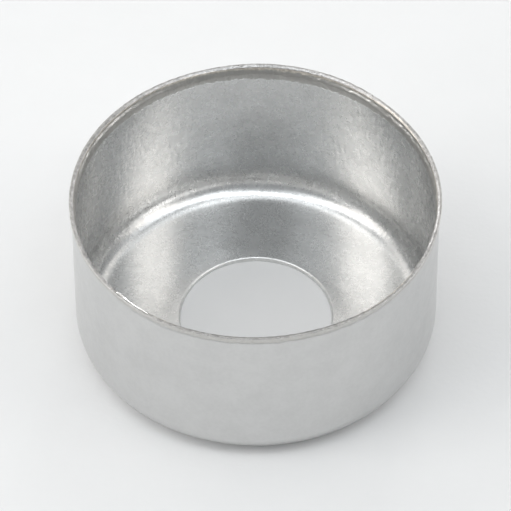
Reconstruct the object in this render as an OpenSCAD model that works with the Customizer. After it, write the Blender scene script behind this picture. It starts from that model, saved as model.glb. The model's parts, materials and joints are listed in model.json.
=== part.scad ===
// Open-centre bottle cap, drawn from one disc of thin aluminium sheet.
// It stands on its pierced floor with its mouth up. Z is the axis of the cup, and the
// origin is the middle of the base, at the level of the surface that the cap stands on.

/* [Cup] */
// Outside diameter of the straight wall
wall_d = 20.4; // [16:0.1:32]
// Height of the cap, from the base to the trimmed lip
cap_h = 10.2; // [7:0.1:18]
// Thickness of the sheet
sheet_t = 0.24; // [0.16:0.02:0.4]
// Inside radius of the bend between the floor and the wall, left by the punch nose
nose_r = 1.3; // [0.6:0.1:3]

/* [Centre hole] */
// Diameter of the hole pierced in the floor
hole_d = 8.6; // [4:0.1:11]
// Radius rolled over on the upper edge of the hole as the punch enters
roll_r = 0.14; // [0.04:0.01:0.14]

/* [Stepped lip] */
// How far trimming pushes the lip out from the wall
lip_out = 0.12; // [0.04:0.01:0.16]
// Height of the upright band above the step
lip_h = 0.2; // [0.15:0.05:0.6]
// Radius of the two bends of the step, at the middle of the sheet
step_r = 0.4; // [0.3:0.05:0.6]
// Radius on the two upper edges of the lip
trim_r = 0.06; // [0.02:0.01:0.07]

/* [Hidden] */
// Facets round the axis
round_steps = 180;
// Facets round each small bend of the section
bend_steps = 48;

wall_r = wall_d / 2;
bore_r = wall_r - sheet_t;
hole_r = hole_d / 2;
// Angle through which each bend of the step turns, and the height of the whole step
step_turn = acos(1 - lip_out / (2 * step_r));
step_h = 2 * step_r * sin(step_turn);
step_z = cap_h - lip_h - step_h;

// Half section of a column that steps out by lip_out, from the foot of the step upwards:
// first a bend away from the axis, then an equal turn back to upright
module step_half(radius, height, first_bend) {
    second_bend = 2 * step_r - first_bend;
    turn_r = radius + first_bend * (1 - cos(step_turn));
    difference() {
        square([turn_r, height]);
        translate([radius + first_bend, 0]) circle(first_bend, $fn = bend_steps);
    }
    translate([radius + lip_out - second_bend, step_h])
    intersection() {
        circle(second_bend, $fn = bend_steps);
        translate([0, -second_bend]) square([second_bend, second_bend + lip_h / 2]);
    }
    translate([0, step_h]) square([radius + lip_out, height - step_h]);
}

// Half section of a cup-shaped body with one rounded lower corner and a step near its top
module cup_half(radius, floor_z, top_z, corner, first_bend) {
    translate([0, floor_z + corner]) square([radius, top_z - floor_z - corner]);
    translate([0, floor_z]) square([radius - corner, corner]);
    translate([radius - corner, floor_z + corner]) circle(corner, $fn = bend_steps);
    translate([0, step_z]) step_half(radius, top_z - step_z, first_bend);
}

// The sheet drawn into floor, base corner, wall and stepped lip, before it is cut
module drawn_sheet() {
    difference() {
        cup_half(wall_r, 0, cap_h, nose_r + sheet_t, step_r - sheet_t / 2);
        cup_half(bore_r, sheet_t, cap_h + sheet_t, nose_r, step_r + sheet_t / 2);
    }
}

// What is rounded off one upper edge of the lip: side is 1 for the outer edge, -1 for the
// inner one, and the edge stands at the given radius
module trimmed_edge(radius, side) {
    translate([radius - side * trim_r, cap_h - trim_r])
    difference() {
        translate([side > 0 ? 0 : -2 * trim_r, 0]) square(2 * trim_r);
        circle(trim_r, $fn = bend_steps);
    }
}

// What the piercing punch removes: the hole itself and the rolled upper edge
module pierced_hole() {
    square([hole_r, sheet_t]);
    difference() {
        translate([0, sheet_t - roll_r]) square([hole_r + roll_r, roll_r]);
        translate([hole_r + roll_r, sheet_t - roll_r]) circle(roll_r, $fn = bend_steps);
    }
}

// The whole cap, turned about its axis from its half section
module cap() {
    color([0.74, 0.74, 0.73])
    rotate_extrude($fn = round_steps) {
        difference() {
            drawn_sheet();
            trimmed_edge(wall_r + lip_out, 1);
            trimmed_edge(bore_r + lip_out, -1);
            pierced_hole();
        }
    }
}

cap();
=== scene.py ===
# %% [markdown]
# An open-centre bottle cap
#
# The cap is a cup drawn from one disc of thin aluminium sheet. A punch pushed the disc
# through a ring, so the wall, the base corner and the floor are one skin of metal. A second
# punch cut the round hole in the floor, and a trimming tool cut the mouth level and pushed
# the lip out a little. This lesson models the cap at its real size, gives it the finish of
# raw drawn aluminium and lights it softly on a pale table.

# %% Load the fixed frame
import json
import math

import bpy
import numpy as np
from mathutils import Matrix, Vector


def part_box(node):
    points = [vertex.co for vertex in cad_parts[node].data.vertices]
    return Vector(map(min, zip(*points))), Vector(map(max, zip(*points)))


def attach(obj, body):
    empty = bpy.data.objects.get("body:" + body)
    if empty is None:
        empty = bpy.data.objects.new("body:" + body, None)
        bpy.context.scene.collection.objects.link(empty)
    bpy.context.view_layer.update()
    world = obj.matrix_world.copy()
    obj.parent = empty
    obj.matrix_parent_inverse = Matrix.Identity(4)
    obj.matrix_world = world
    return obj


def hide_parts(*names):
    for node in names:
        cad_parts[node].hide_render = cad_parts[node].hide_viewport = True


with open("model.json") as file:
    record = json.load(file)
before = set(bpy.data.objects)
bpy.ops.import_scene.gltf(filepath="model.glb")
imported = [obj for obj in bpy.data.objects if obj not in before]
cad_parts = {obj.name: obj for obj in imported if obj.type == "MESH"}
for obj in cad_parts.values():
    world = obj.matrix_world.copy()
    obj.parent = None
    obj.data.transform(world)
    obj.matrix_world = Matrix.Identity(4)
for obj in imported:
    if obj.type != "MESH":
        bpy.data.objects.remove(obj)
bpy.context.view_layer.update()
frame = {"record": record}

# %% [markdown]
# The frame already says how large the cap is, so its sizes are read from there: the box
# gives the height and the width over the lip, and the two bores give the mouth and the
# hole. Only the sheet and its small bends are named here. Blender works in metres, and
# `MM` turns the small sizes into them.

# %% Sizes
MM = 0.001
mounts = {mount["name"]: mount for mount in frame["record"]["mounts"]}
low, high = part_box("cap")
HEIGHT = high[2] - low[2]
LIP_RADIUS = (high[0] - low[0]) / 2
BORE_RADIUS = mounts["mouth"]["dims"]["r_mm"] * MM
HOLE_RADIUS = mounts["centre_hole"]["dims"]["r_mm"] * MM
SHEET = 0.24 * MM
NOSE_RADIUS = 1.3 * MM
ROLL_RADIUS = 0.14 * MM
LIP_BAND = 0.2 * MM
STEP_RADIUS = 0.4 * MM
WALL_RADIUS = BORE_RADIUS + SHEET
CORNER_RADIUS = NOSE_RADIUS + SHEET
print("height %.2f mm, wall %.2f mm across" % (HEIGHT / MM, 2 * WALL_RADIUS / MM))

# %% [markdown]
# The lip stands out from the wall because the sheet steps sideways: it bends out, and then
# bends back by the same angle. The two bends have one radius at the middle of the sheet, so
# the angle and the height of the step follow from how far the lip stands out.

# %% Sizes of the step
LIP_OUT = LIP_RADIUS - WALL_RADIUS
STEP_TURN = math.acos(1 - LIP_OUT / (2 * STEP_RADIUS))
STEP_TOP = HEIGHT - LIP_BAND
STEP_FOOT = STEP_TOP - 2 * STEP_RADIUS * math.sin(STEP_TURN)
TIGHT_BEND = STEP_RADIUS - SHEET / 2
WIDE_BEND = STEP_RADIUS + SHEET / 2
print("step turns %.1f degrees, %.2f mm high" % (math.degrees(STEP_TURN), (STEP_TOP - STEP_FOOT) / MM))

# %% [markdown]
# A shearing tool cuts through the first part of the sheet and tears the rest, so the cut
# face at the lip has a level outer strip and a torn one that slopes down to the inside.
# These are the widths of the two, and the small rounds on either side.

# %% Sizes of the cut face
TRIM_RADIUS = 0.035 * MM
SHEARED_WIDTH = 0.07 * MM
TORN_WIDTH = SHEET - 2 * TRIM_RADIUS - SHEARED_WIDTH
TORN_DROP = 0.065 * MM
print("torn strip slopes %.0f degrees" % math.degrees(math.atan2(TORN_DROP, TORN_WIDTH)))

# %% [markdown]
# A cup like this is round about one axis, so the quickest true way to model it is the way a
# lathe hand would draw it: one half section, turned once round. The section is drawn in
# edit mode from a single vertex. Straight stretches are extrusions and bends are short
# spins, so every bend is a real arc that starts in line with its neighbours. A positive
# spin turns anticlockwise when the section is seen with its axis on the left.

# %% Drawing tools for the half section
QUARTER = math.pi / 2


def deselect_all():
    bpy.ops.object.select_all(action="DESELECT")


def first_vertex(name, radius, height):
    deselect_all()
    bpy.ops.mesh.primitive_plane_add(size=MM, location=(0, 0, 0))
    piece = bpy.context.object
    piece.name = name
    bpy.ops.object.mode_set(mode="EDIT")
    bpy.ops.mesh.merge(type="CENTER")
    bpy.ops.transform.translate(value=(radius, 0, height))
    return piece


def line_to(across, up, steps):
    for _ in range(steps):
        bpy.ops.mesh.extrude_vertices_move(
            TRANSFORM_OT_translate={"value": (across / steps, 0, up / steps)})


def arc_round(radius, height, angle, steps):
    bpy.ops.mesh.spin(steps=steps, angle=angle, center=(radius, 0, height), axis=(0, 1, 0))


# %% [markdown]
# The outline starts at the lower edge of the hole. It runs out under the floor, round the
# base corner, up the outside of the wall and out through the two bends of the step.

# %% Outside of the sheet
cap = first_vertex("cap_sheet", HOLE_RADIUS, 0)
line_to(WALL_RADIUS - CORNER_RADIUS - HOLE_RADIUS, 0, 4)
arc_round(WALL_RADIUS - CORNER_RADIUS, CORNER_RADIUS, QUARTER, 14)
line_to(0, STEP_FOOT - CORNER_RADIUS, 13)
arc_round(WALL_RADIUS + TIGHT_BEND, STEP_FOOT, -STEP_TURN, 5)
arc_round(LIP_RADIUS - WIDE_BEND, STEP_TOP, STEP_TURN, 5)
line_to(0, LIP_BAND - TRIM_RADIUS, 3)
print("outside drawn up to %.2f mm" % ((HEIGHT - TRIM_RADIUS) / MM))

# %% [markdown]
# Over the lip it follows the cut face: a small round, the level sheared strip, the sloping
# torn strip and the second small round.

# %% Cut face of the lip
arc_round(LIP_RADIUS - TRIM_RADIUS, HEIGHT - TRIM_RADIUS, QUARTER, 4)
line_to(-SHEARED_WIDTH, 0, 3)
line_to(-TORN_WIDTH, -TORN_DROP, 4)
arc_round(LIP_RADIUS - SHEET + TRIM_RADIUS, HEIGHT - TORN_DROP - TRIM_RADIUS, QUARTER, 4)
print("cut face %.2f mm wide between its rounds" % ((SHEARED_WIDTH + TORN_WIDTH) / MM))

# %% [markdown]
# Down the inside it passes the same two bends, then the bend that the punch nose left at
# the floor, and it ends at the hole, where the piercing punch drew the upper edge down.

# %% Inside of the sheet
line_to(0, TRIM_RADIUS + TORN_DROP - LIP_BAND, 3)
arc_round(LIP_RADIUS - WIDE_BEND, STEP_TOP, -STEP_TURN, 5)
arc_round(WALL_RADIUS + TIGHT_BEND, STEP_FOOT, STEP_TURN, 5)
line_to(0, CORNER_RADIUS - STEP_FOOT, 13)
arc_round(BORE_RADIUS - NOSE_RADIUS, CORNER_RADIUS, -QUARTER, 14)
line_to(HOLE_RADIUS + ROLL_RADIUS + NOSE_RADIUS - BORE_RADIUS, 0, 4)
arc_round(HOLE_RADIUS + ROLL_RADIUS, SHEET - ROLL_RADIUS, QUARTER, 5)
line_to(0, ROLL_RADIUS - SHEET, 2)
print("floor %.2f mm wide, %.2f mm thick" % ((BORE_RADIUS - HOLE_RADIUS) / MM, SHEET / MM))

# %% [markdown]
# The Screw modifier with no rise turns the closed section once round the axis, which is
# much quicker than a spin of many steps. Its doubles are merged first, and only then are
# the normals made to point outwards.

# %% Turn the section once round
ROUND_STEPS = 840
SAME_POINT = 0.0005 * MM
bpy.ops.mesh.select_all(action="SELECT")
bpy.ops.mesh.remove_doubles(threshold=SAME_POINT)
bpy.ops.object.mode_set(mode="OBJECT")
turn = cap.modifiers.new("turn", "SCREW")
turn.steps = ROUND_STEPS
turn.render_steps = ROUND_STEPS
bpy.ops.object.modifier_apply(modifier="turn")
bpy.ops.object.mode_set(mode="EDIT")
bpy.ops.mesh.select_all(action="SELECT")
bpy.ops.mesh.remove_doubles(threshold=SAME_POINT)
bpy.ops.mesh.normals_make_consistent(inside=False)
bpy.ops.object.mode_set(mode="OBJECT")
bpy.ops.object.shade_smooth()
print("cap_sheet", len(cap.data.vertices), "vertices", len(cap.data.polygons), "faces")

# %% [markdown]
# Rolled sheet is not equally soft in all directions, so a drawn cup never ends level: it
# has ears. They are low and wide here, and they fade out down the wall. A few waves round
# the axis give them, and the highest point stays at the level of the frame. No modifier
# makes such waves, so the points are moved in code, with helpers that read them into one
# array and write them back.

# %% Helpers for moving points
def read_points(piece):
    points = np.empty(len(piece.data.vertices) * 3)
    piece.data.vertices.foreach_get("co", points)
    return points.reshape(-1, 3)


def write_points(piece, points):
    piece.data.vertices.foreach_set("co", points.ravel())
    piece.data.update()


def angles_of(points):
    return np.arctan2(points[:, 1], points[:, 0])


def fade(value, start, end):
    share = np.clip((value - start) / (end - start), 0, 1)
    return share * share * (3 - 2 * share)


# %% [markdown]
# Each wave is given by how often it repeats round the mouth, its height in millimetres and
# how far it is turned, in degrees.

# %% Ears at the mouth
EAR_WAVES = ((4, 0.035, 12), (5, 0.035, 20), (11, 0.008, 75))
EAR_FADE_FOOT = 5.0 * MM


def ear_height(angle):
    return sum(size * MM * np.cos(count * angle + math.radians(turned))
               for count, size, turned in EAR_WAVES)


points = read_points(cap)
highest = ear_height(np.linspace(0, 2 * math.pi, ROUND_STEPS)).max()
ears = ear_height(angles_of(points)) - highest
points[:, 2] += ears * fade(points[:, 2], EAR_FADE_FOOT, STEP_FOOT)
write_points(cap, points)
print("ears up to %.3f mm deep" % (-ears.min() / MM))

# %% [markdown]
# On the camera's left the trimming tool dragged and pressed the torn strip nearly level, and
# the pressed metal shines; part of that shine is a painted highlight in its finish. The nick is
# given by its middle, by how far from there it is full and how far it reaches, as angles round
# the lip, and by how much it lifts the inner edge of the strip. The wall below stays as it is,
# because the lift only starts above the step.

# %% Nick in the lip
NICK_MIDDLE = math.radians(-131.5)
NICK_FULL = math.radians(5.6)
NICK_REACH = math.radians(7)
NICK_RISE = 0.045 * MM
NICK_FADE_UP = 0.05 * MM
TORN_FROM = LIP_RADIUS - TRIM_RADIUS - SHEARED_WIDTH


def nick_share(angle):
    return 1 - fade(np.abs(angle - NICK_MIDDLE), NICK_FULL, NICK_REACH)


points = read_points(cap)
across = np.clip((TORN_FROM - np.hypot(points[:, 0], points[:, 1])) / TORN_WIDTH, 0, 1)
near_top = fade(points[:, 2], STEP_TOP, STEP_TOP + NICK_FADE_UP)
points[:, 2] += NICK_RISE * nick_share(angles_of(points)) * across * near_top
write_points(cap, points)
print("nick %.1f mm long" % (2 * NICK_REACH * LIP_RADIUS / MM))

# %% [markdown]
# The trimming tool leaves the step a little uneven. A Displace modifier with a cloud texture
# does that: a vertex group says where it may act, and the texture moves those points up and
# down. At the lip its middle level is 1, so there it only ever lowers a point.

# %% Helper for uneven metal
LEAST_SHARE = 0.01


def uneven(piece, name, share, cloud_size, depth, middle):
    group = piece.vertex_groups.new(name=name)
    for index in np.nonzero(share > LEAST_SHARE)[0]:
        group.add([int(index)], float(share[index]), "REPLACE")
    clouds = bpy.data.textures.new(name, "CLOUDS")
    clouds.noise_scale = cloud_size
    clouds.noise_depth = 1
    push = piece.modifiers.new(name, "DISPLACE")
    push.texture = clouds
    push.vertex_group = name
    push.direction = "Z"
    push.strength = depth
    push.mid_level = middle
    bpy.ops.object.modifier_apply(modifier=name)


# %% [markdown]
# The step is the more uneven of the two: its clouds are larger and deeper, and they fade out
# over half a millimetre of wall below it and over its own height above.

# %% Uneven step and lip
STEP_FADE = 0.5 * MM
STEP_CLOUD = 0.45 * MM
STEP_DEPTH = 0.2 * MM
LIP_FADE = 0.2 * MM
LIP_CLOUD = 0.3 * MM
LIP_DEPTH = 0.05 * MM
heights = read_points(cap)[:, 2]
below = fade(heights, STEP_FOOT - STEP_FADE, STEP_FOOT)
above = 1 - fade(heights, STEP_FOOT, STEP_TOP)
uneven(cap, "uneven_step", below * above, STEP_CLOUD, STEP_DEPTH, middle=0.5)
at_lip = fade(heights, STEP_TOP - LIP_FADE, STEP_TOP)
uneven(cap, "uneven_lip", at_lip, LIP_CLOUD, LIP_DEPTH, middle=1)
print("cap is now %.3f mm high" % (read_points(cap)[:, 2].max() / MM))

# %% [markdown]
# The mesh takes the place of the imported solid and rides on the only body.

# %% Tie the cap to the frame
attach(cap, "root")
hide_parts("cap")
print(cap.name, "rides on root in the place of the packed solid")

# %% [markdown]
# The finish is built from shader nodes, and a few small helpers keep the cells short. The
# first fills the sockets of a node with values or links. The others add a node of any kind,
# open a node group with named sockets, and add a sum, a mix of two colours or a copy of a
# group.

# %% Helpers for nodes
NODE_GAP = 200


def fill(tree, node, sockets):
    for name, value in sockets.items():
        if isinstance(value, bpy.types.NodeSocket):
            tree.links.new(value, node.inputs[name])
        else:
            node.inputs[name].default_value = value


def add(tree, kind, sockets=None, **settings):
    node = tree.nodes.new(kind)
    node.location = (NODE_GAP * len(tree.nodes), 0)
    for name, value in settings.items():
        setattr(node, name, value)
    fill(tree, node, sockets or {})
    return node


def new_group(name, inputs, output):
    group = bpy.data.node_groups.new(name, "ShaderNodeTree")
    for title, value in inputs.items():
        socket = group.interface.new_socket(title, in_out="INPUT", socket_type="NodeSocketFloat")
        socket.default_value = value
    group.interface.new_socket(output, in_out="OUTPUT", socket_type="NodeSocketFloat")
    given = group.nodes.new("NodeGroupInput").outputs
    return group, given, group.nodes.new("NodeGroupOutput").inputs[output]


def math_node(tree, operation, *values):
    return add(tree, "ShaderNodeMath", dict(enumerate(values)), operation=operation).outputs[0]


def mixed(tree, share, dark, pale):
    ends = [value if isinstance(value, bpy.types.NodeSocket) else (*value, 1) for value in (dark, pale)]
    return add(tree, "ShaderNodeMix", {0: share, 6: ends[0], 7: ends[1]}, data_type="RGBA").outputs[2]


def placed(tree, group, **sockets):
    node = add(tree, "ShaderNodeGroup", node_tree=group)
    fill(tree, node, sockets)
    return node.outputs


# %% [markdown]
# Drawing stretches the crystals of the sheet, and its surface turns into a fine crumpled
# grain, longer along the wall than round it. The first group gives that grain as a height
# in millimetres. Its inputs are the size of a grain, its stretch up the wall, its depth, how
# much finer detail it has, and how twisted its outline is.

# %% Group: grain
grain_inputs = {"Size": 0.3, "Stretch": 1.0, "Depth": 0.01, "Detail": 2.0, "Twist": 0.0}
grain, given, result = new_group("sheet_grain", grain_inputs, "Height")
place = add(grain, "ShaderNodeTexCoord").outputs["Object"]
upward = math_node(grain, "DIVIDE", 1.0, given["Stretch"])
squeeze = add(grain, "ShaderNodeCombineXYZ", {"X": 1.0, "Y": 1.0, "Z": upward}).outputs[0]
pressed = add(grain, "ShaderNodeVectorMath", {0: place, 1: squeeze}, operation="MULTIPLY").outputs[0]
cells = add(grain, "ShaderNodeTexNoise", {
    "Vector": pressed, "Scale": math_node(grain, "DIVIDE", 1 / MM, given["Size"]),
    "Detail": given["Detail"], "Roughness": 0.55, "Distortion": given["Twist"]}).outputs["Fac"]
grain.links.new(math_node(grain, "MULTIPLY", cells, given["Depth"]), result)
print("sheet_grain", len(grain.nodes), "nodes")

# %% [markdown]
# Oil and handling leave clouds on raw aluminium: some places are a shade darker, some a
# little more matt. One group gives such a cloud between two values, and both the colour
# and the roughness of a finish use it at their own size.

# %% Group: stain
stain, given, result = new_group("sheet_stain", {"Size": 1.5, "Low": 0.0, "High": 1.0}, "Value")
place = add(stain, "ShaderNodeTexCoord").outputs["Object"]
clouds = add(stain, "ShaderNodeTexNoise", {
    "Vector": place, "Scale": math_node(stain, "DIVIDE", 1 / MM, given["Size"]),
    "Detail": 3.0, "Roughness": 0.6}).outputs["Fac"]
spread = add(stain, "ShaderNodeMapRange", {
    "Value": clouds, "From Min": 0.3, "From Max": 0.7, "To Min": given["Low"], "To Max": given["High"]})
stain.links.new(spread.outputs[0], result)
print("sheet_stain", len(stain.nodes), "nodes")

# %% [markdown]
# The tools touched the sheet at some heights and not at others: the trimming tool rubbed and
# tore the skin close to the lip, and the punch nose pressed the foot of the wall. This group
# says how far a place is past such a height, and on the step of the punch side it also marks
# where painted shade goes. It is 0 below the start and 1 above it, its width makes the border
# sharp or soft, and noise makes it ragged.

# %% Group: share above a height
RAGGED_SCALE = 4 / MM
past_height, given, result = new_group("share_past_height", {"Start": 9.8, "Ragged": 0.2, "Width": 0.12}, "Share")
place = add(past_height, "ShaderNodeTexCoord").outputs["Object"]
level = math_node(past_height, "DIVIDE", add(past_height, "ShaderNodeSeparateXYZ", {0: place}).outputs["Z"], MM)
noise = add(past_height, "ShaderNodeTexNoise",
            {"Vector": place, "Scale": RAGGED_SCALE, "Detail": 2.0}).outputs["Fac"]
ragged = math_node(past_height, "MULTIPLY_ADD", noise, given["Ragged"], level)
above = math_node(past_height, "SUBTRACT", ragged, given["Start"])
share = add(past_height, "ShaderNodeMapRange", {
    "Value": above, "From Min": 0.0, "From Max": given["Width"]}, interpolation_type="SMOOTHSTEP")
past_height.links.new(share.outputs[0], result)
print("share_past_height", len(past_height.nodes), "nodes")

# %% [markdown]
# All five finishes are the same metal, so they share a recipe, and what is the same in all
# of them is named first. A wide stain gives each its colour, and a fine one moves that a
# little to the dark or the pale side, by the share of the specks. The stain of its roughness
# is smaller than the wide one, by the share of the matt. Where a tool has worn the skin,
# small spots of another pair of colours and a torn grain take over, and the metal is more
# matt. On the step of the punch side those colours are darker, as painted shade. At the foot
# the burnished part fades out upwards. Lengths are in millimetres.

# %% Values that the finishes share
SPECK_SHARE = 0.35
MATT_SHARE = 0.4
BAND_SPOT = 0.2
RUB_MATT = 0.12
RUB_GRAIN = 0.16
RUB_DEPTH = 0.03
BURNISHED_TOP = 2.6
BURNISHED_FADE = 1.2
print("worn metal has a grain of %.2f mm" % RUB_GRAIN)

# %% [markdown]
# The grain of a finish is one or more layers, each given by its size, stretch, depth, detail
# and twist, and their heights are added. The punch nose has burnished the floor, the bend
# and the foot of the wall, so there the grain can be shallower, by the share given.

# %% Height of the grain
def grain_height(tree, layers, burnished):
    height = 0.0
    for size, stretch, depth, detail, twist in layers:
        layer = placed(tree, grain, Size=size, Stretch=stretch, Depth=depth, Detail=detail, Twist=twist)
        height = math_node(tree, "ADD", height, layer["Height"])
    if burnished:
        wall = placed(tree, past_height, Start=BURNISHED_TOP, Ragged=0.0, Width=BURNISHED_FADE)["Share"]
        kept = math_node(tree, "MULTIPLY_ADD", wall, burnished, 1 - burnished)
        height = math_node(tree, "MULTIPLY", height, kept)
    return height


# %% [markdown]
# The recipe puts this together for one finish: a fully metallic shader with a colour, a
# roughness between two values and a bump. Each band is given by where it starts, how ragged
# that border is, and its two colours; most bands are wear, and the one on the inner step is
# painted shade.

# %% Recipe for a finish
def metal(name, dark, pale, stain_size, speck, rough, layers, worn_and_shaded_bands=(), burnished=0.0):
    made = bpy.data.materials.new(name)
    made.use_nodes = True
    tree = made.node_tree
    shader = tree.nodes["Principled BSDF"]
    shader.inputs["Metallic"].default_value = 1
    cloud = placed(tree, stain, Size=stain_size)["Value"]
    fine = placed(tree, stain, Size=speck, Low=-SPECK_SHARE, High=SPECK_SHARE)["Value"]
    colour = mixed(tree, math_node(tree, "ADD", cloud, fine), dark, pale)
    matt = placed(tree, stain, Size=stain_size * MATT_SHARE, Low=rough[0], High=rough[1])["Value"]
    height = grain_height(tree, layers, burnished)
    for start, ragged, band_dark, band_pale in worn_and_shaded_bands:
        share = placed(tree, past_height, Start=start, Ragged=ragged)["Share"]
        spots = placed(tree, stain, Size=BAND_SPOT)["Value"]
        colour = mixed(tree, share, colour, mixed(tree, spots, band_dark, band_pale))
        matt = math_node(tree, "MULTIPLY_ADD", share, RUB_MATT, matt)
        torn = placed(tree, grain, Size=RUB_GRAIN, Stretch=1.0, Depth=RUB_DEPTH, Detail=2.0)["Height"]
        height = math_node(tree, "MULTIPLY_ADD", torn, share, height)
    bump = add(tree, "ShaderNodeBump", {"Height": height, "Distance": MM, "Strength": 1.0})
    tree.links.new(colour, shader.inputs["Base Color"])
    tree.links.new(matt, shader.inputs["Roughness"])
    tree.links.new(bump.outputs["Normal"], shader.inputs["Normal"])
    print(name, len(tree.nodes), "nodes")
    return made


# %% [markdown]
# The two sides of the sheet don't look alike. The die ring wiped the outside smooth and
# left faint upright marks, so its grain is shallow and its finest layer is long. Close to
# the lip the trimming tool has darkened it.

# %% Finish of the outside
die_side = metal(
    "die_side", dark=(0.605, 0.605, 0.60), pale=(0.645, 0.645, 0.64), stain_size=1.6, speck=0.22,
    rough=(0.28, 0.36), layers=((0.14, 4.0, 0.006, 2.0, 0.0), (0.35, 1.5, 0.008, 2.0, 0.3)),
    worn_and_shaded_bands=((9.8, 0.25, (0.54, 0.53, 0.51), (0.63, 0.62, 0.60)),))

# %% [markdown]
# The punch side kept the crumpled grain of the stretched sheet. Two bands are worn there: a
# dull one on the step, more matt from the tool and painted darker, as painted shade for the
# dark reflection the step shows, and above it a warmer, spotted one on the upright band of the lip.

# %% Finish of the inside
punch_side = metal(
    "punch_side", dark=(0.68, 0.68, 0.675), pale=(0.75, 0.75, 0.745), stain_size=1.2, speck=0.2,
    rough=(0.24, 0.31), layers=((0.45, 1.5, 0.009, 1.0, 0.3), (0.2, 3.5, 0.010, 0.0, 0.2)),
    # The first band is painted shade on the step; the second is worn metal at the lip.
    worn_and_shaded_bands=((9.35, 0.35, (0.48, 0.47, 0.45), (0.54, 0.53, 0.51)),
          (9.95, 0.25, (0.62, 0.57, 0.51), (0.92, 0.87, 0.80))),
    burnished=0.65)

# %% [markdown]
# The cut face of the lip is torn and dull. That of the hole has upright marks of the punch
# and is painted paler, as painted light that lifts the shade where it meets the table. In the
# nick the pressed metal is smooth, and its pale colour is a painted highlight that adds to
# the glint it catches.

# %% Finishes of the cut faces
cut_lip = metal(
    "cut_lip", dark=(0.36, 0.35, 0.34), pale=(0.58, 0.57, 0.56), stain_size=0.25, speck=0.12,
    rough=(0.24, 0.42), layers=((0.14, 1.0, 0.02, 2.0, 0.0),))
# Its pale colour is painted light that lifts the shade at the foot of the hole.
cut_hole_with_painted_light = metal(
    "cut_hole_with_painted_light", dark=(0.74, 0.74, 0.73), pale=(0.84, 0.84, 0.83), stain_size=0.4, speck=0.1,
    rough=(0.3, 0.45), layers=((0.12, 6.0, 0.01, 1.0, 0.0),))
# Its pale colour is a painted highlight that adds to the glint of the nick.
nick_with_painted_glint = metal(
    "nick_with_painted_glint", dark=(0.78, 0.77, 0.76), pale=(0.90, 0.89, 0.88), stain_size=0.3, speck=0.12,
    rough=(0.16, 0.26), layers=((0.3, 1.0, 0.004, 1.0, 0.0),))

# %% [markdown]
# Each face is sorted by its place and by where it looks. A face that looks towards a point
# half way up the axis is on the punch side, and the others are on the die side. The cut
# faces are then picked out by their height and radius, and those of the nick by their place
# round the lip.

# %% Helper for reading faces
def read_faces(piece, what):
    values = np.empty(len(piece.data.polygons) * 3)
    piece.data.polygons.foreach_get(what, values)
    return values.reshape(-1, 3)


# %% [markdown]
# The five finishes go into the cap's material slots in this order, and each face is given
# the number of its slot. A face above the step is part of the cut face when it looks more
# than a little upwards, and a torn one is part of the nick where the nick is more than half
# full.

# %% Put the finishes on the faces
finishes = (die_side, punch_side, cut_lip, cut_hole_with_painted_light, nick_with_painted_glint)
OUTSIDE, INSIDE, LIP, HOLE, NICK = range(len(finishes))
LEAST_UP = 0.2
for finish in finishes:
    cap.data.materials.append(finish)
centres = read_faces(cap, "center")
looks = read_faces(cap, "normal")
radii = np.hypot(centres[:, 0], centres[:, 1])
half_way = np.array((0, 0, HEIGHT / 2))
towards = ((half_way - centres) * looks).sum(axis=1)
slots = np.where(towards > 0, INSIDE, OUTSIDE).astype(np.int32)
slots[(centres[:, 2] > STEP_TOP) & (looks[:, 2] > LEAST_UP)] = LIP
slots[radii < HOLE_RADIUS + ROLL_RADIUS] = HOLE
torn = (slots == LIP) & (radii < TORN_FROM)
slots[torn & (nick_share(angles_of(centres)) > 0.5)] = NICK
cap.data.polygons.foreach_set("material_index", slots)
print("faces of each finish:", np.bincount(slots).tolist())

# %% [markdown]
# The table is a sheet of pale matt board. It is only a stage for the cap, so it is a plane
# with a very fine tooth.

# %% Table
TABLE_SIZE = 1.2
BOARD_DARK = (0.795, 0.795, 0.795)
BOARD_PALE = (0.805, 0.805, 0.805)
deselect_all()
bpy.ops.mesh.primitive_plane_add(size=TABLE_SIZE, location=(0, 0, low[2]))
table = bpy.context.object
table.name = "table"
board = bpy.data.materials.new("pale_board")
board.use_nodes = True
tree = board.node_tree
shader = tree.nodes["Principled BSDF"]
shader.inputs["Roughness"].default_value = 0.8
colour = mixed(tree, placed(tree, stain, Size=3.0)["Value"], BOARD_DARK, BOARD_PALE)
tree.links.new(colour, shader.inputs["Base Color"])
tooth = placed(tree, grain, Size=0.4, Stretch=1.0, Depth=0.01)["Height"]
bump = add(tree, "ShaderNodeBump", {"Height": tooth, "Distance": MM, "Strength": 1.0})
tree.links.new(bump.outputs["Normal"], shader.inputs["Normal"])
table.data.materials.append(board)
print("table %.1f m wide" % TABLE_SIZE)

# %% [markdown]
# The camera looks down by a little more than 48 degrees through a long lens, from far
# enough away that the two sides of the wall look nearly upright. It is tipped sideways by a
# third of a degree, as a camera held over a small table is. Cameras and area lamps look
# along their own -Z, so the helper turns +Z to where they stand.

# %% Helper for turning a camera or a lamp
def turned_to(back):
    return back.to_track_quat("Z", "Y").to_matrix().to_4x4()


# %% [markdown]
# The aim is the point that lies in the middle of the picture. The focal length is given in
# pixels of the picture, and the width of the sensor turns it into millimetres.

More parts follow.
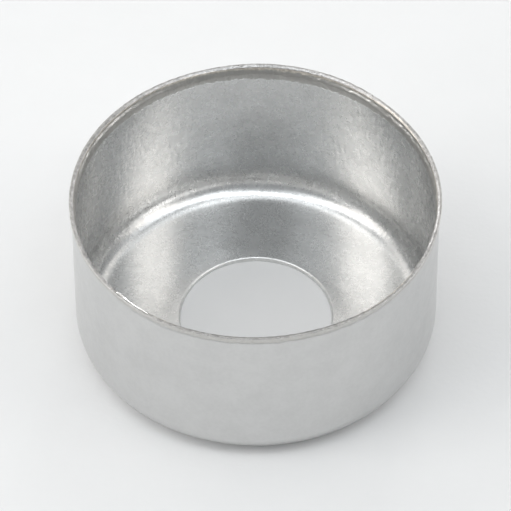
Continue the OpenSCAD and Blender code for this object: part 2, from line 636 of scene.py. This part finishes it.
# %% Camera
AIM = Vector((-0.001 * WALL_RADIUS, 0, 0.523 * WALL_RADIUS))
DISTANCE = 26 * WALL_RADIUS
ELEVATION = math.radians(48.38)
TIP = math.radians(-0.304)
FOCAL_PIXELS = 4733.7
FRAME_PIXELS = 511
SENSOR_WIDTH = 36
SEEN_AS_FAR_AS = 10
lens = bpy.data.cameras.new("camera")
camera = bpy.data.objects.new("camera", lens)
bpy.context.scene.collection.objects.link(camera)
back = Vector((0, -math.cos(ELEVATION), math.sin(ELEVATION)))
stand = Matrix.Translation(AIM + DISTANCE * back)
camera.matrix_world = stand @ turned_to(back) @ Matrix.Rotation(TIP, 4, "Z")
lens.sensor_width = SENSOR_WIDTH
lens.lens = FOCAL_PIXELS / FRAME_PIXELS * SENSOR_WIDTH
lens.clip_end = SEEN_AS_FAR_AS
bpy.context.scene.camera = camera
print("lens %.0f mm, camera %.0f mm away" % (lens.lens, DISTANCE / MM))

# %% [markdown]
# Bright metal shows its surroundings, so the light is a small product tent: even soft light
# from all sides, and large soft lamps that shine through the cloth. Each lamp is an area
# light turned to the cap. It is placed by its azimuth, with 0 on the camera's side and 90
# on the right, by its elevation, and by how wide and high it looks from the cap.

# %% Helper for a soft lamp
LAMP_DISTANCE = 0.5


def soft_lamp(name, azimuth, elevation, wide, high, radiance, colour=(1, 1, 1)):
    round_by, up_by = math.radians(azimuth), math.radians(elevation)
    toward = Vector((math.sin(round_by) * math.cos(up_by),
                     -math.cos(round_by) * math.cos(up_by), math.sin(up_by)))
    data = bpy.data.lights.new(name, "AREA")
    data.shape = "RECTANGLE"
    data.size = 2 * LAMP_DISTANCE * math.tan(math.radians(wide / 2))
    data.size_y = 2 * LAMP_DISTANCE * math.tan(math.radians(high / 2))
    data.energy = radiance * math.pi * data.size * data.size_y
    data.color = colour
    lamp = bpy.data.objects.new(name, data)
    bpy.context.scene.collection.objects.link(lamp)
    lamp.matrix_world = Matrix.Translation(LAMP_DISTANCE * toward) @ turned_to(toward)
    print("%s %.0f by %.0f mm" % (name, data.size / MM, data.size_y / MM))


# %% [markdown]
# A tall lamp on the left and one on the right make the bright upright patches inside the
# wall. One overhead and two high at the sides light the bend and the floor, two behind light
# the near wall from inside, and three low ones light the outside and the torn strip of the
# lip. A small one behind catches the nick. The side of the camera stays dim, which gives the
# dark middle of the wall.

# %% Lamps
WARM = (1.04, 1.0, 0.95)
COOL = (0.96, 1.0, 1.03)
soft_lamp("left_lamp", -79, 37, 26, 60, 1.45, WARM)
soft_lamp("right_lamp", 72, 42, 23, 27, 1.6, WARM)
soft_lamp("top_lamp", -13, 81, 40, 16, 2.5, COOL)
soft_lamp("high_left_lamp", -64, 60, 40, 14, 0.85, COOL)
soft_lamp("high_right_lamp", 62, 64, 42, 15, 1.4, COOL)
soft_lamp("back_left_lamp", -145, 43, 56, 24, 0.85, WARM)
soft_lamp("back_right_lamp", 148, 47, 36, 28, 0.75, WARM)
soft_lamp("low_left_lamp", -68, 23, 38, 15, 3.4)
soft_lamp("low_far_right_lamp", 109, 9, 68, 16, 3.9)
soft_lamp("low_far_left_lamp", -118, 12, 64, 18, 3.2)
soft_lamp("edge_lamp", 168, 24, 12, 12, 5.0)

# %% [markdown]
# The cloth of the tent is the world, a dim even light on the cap from all sides. The plain
# Standard view shows each colour as it is written.

# %% Tent
CLOTH_LIGHT = 0.37
world = bpy.data.worlds.new("tent")
bpy.context.scene.world = world
world.use_nodes = True
background = world.node_tree.nodes["Background"]
background.inputs["Color"].default_value = (*COOL, 1)
background.inputs["Strength"].default_value = CLOTH_LIGHT
bpy.context.scene.view_settings.view_transform = "Standard"
print("tent light", CLOTH_LIGHT)
